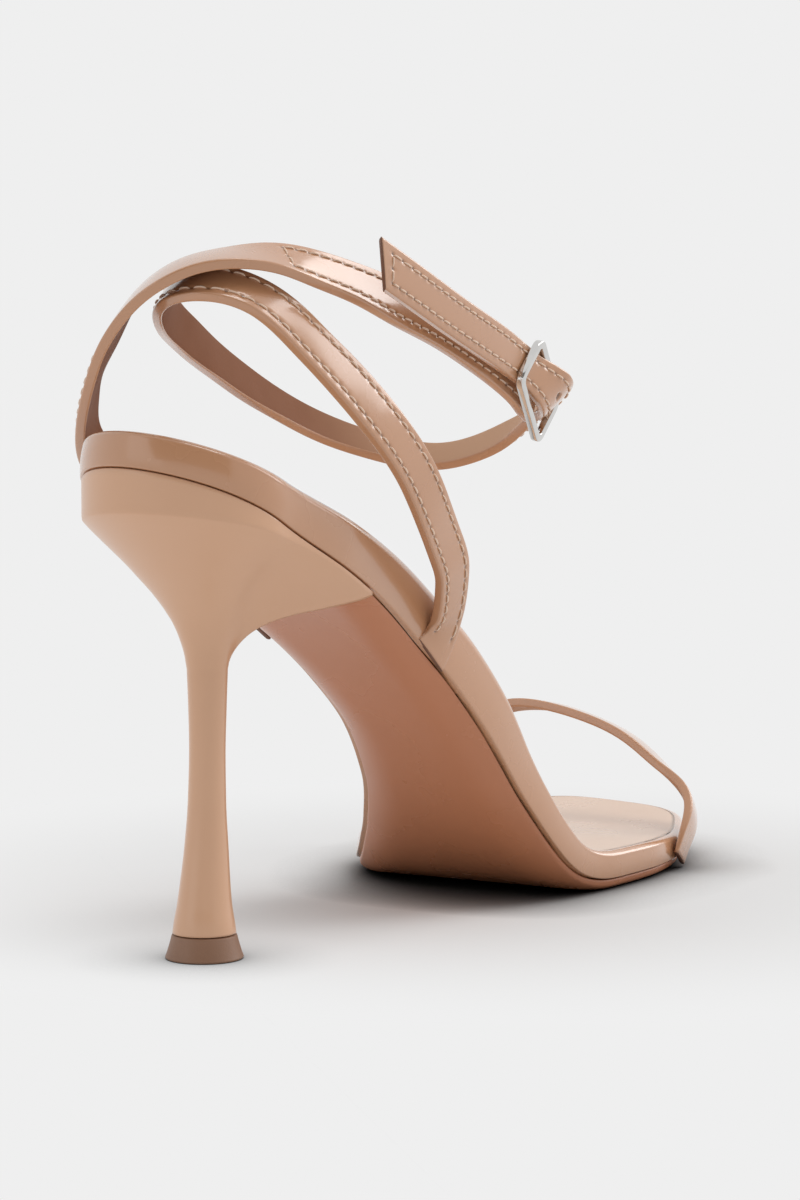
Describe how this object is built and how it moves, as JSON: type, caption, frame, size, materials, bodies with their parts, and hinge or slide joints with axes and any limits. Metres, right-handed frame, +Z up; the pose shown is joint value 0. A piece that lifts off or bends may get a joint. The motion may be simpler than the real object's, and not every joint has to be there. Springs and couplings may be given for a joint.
{
  "type": "ankle strap high heel",
  "caption": "Open high heel sandal with a slim stem heel, arched sole, toe strap and a buckled ankle strap that crosses behind the heel; stands empty on heel tip and forefoot.",
  "frame": {"origin": "middle of the heel tip's tread, on the floor", "axes": "+X toward the toe, +Y toward the inner side of the foot, +Z up"},
  "size_m": [0.2152, 0.0802, 0.1405],
  "materials": {
    "patent_leather": "glossy patent, nude beige",
    "sole_leather": "smooth satin, tan brown",
    "heel_cover": "smooth semi-gloss, nude beige",
    "tip_rubber": "matt brown",
    "buckle_metal": "polished"
  },
  "bodies": {
    "root": {"insole": "patent_leather", "outsole": "sole_leather", "heel": "heel_cover", "toplift": "tip_rubber", "toe_strap": "patent_leather", "ankle_strap": "patent_leather", "buckle_frame": "buckle_metal"}
  },
  "joints": []
}
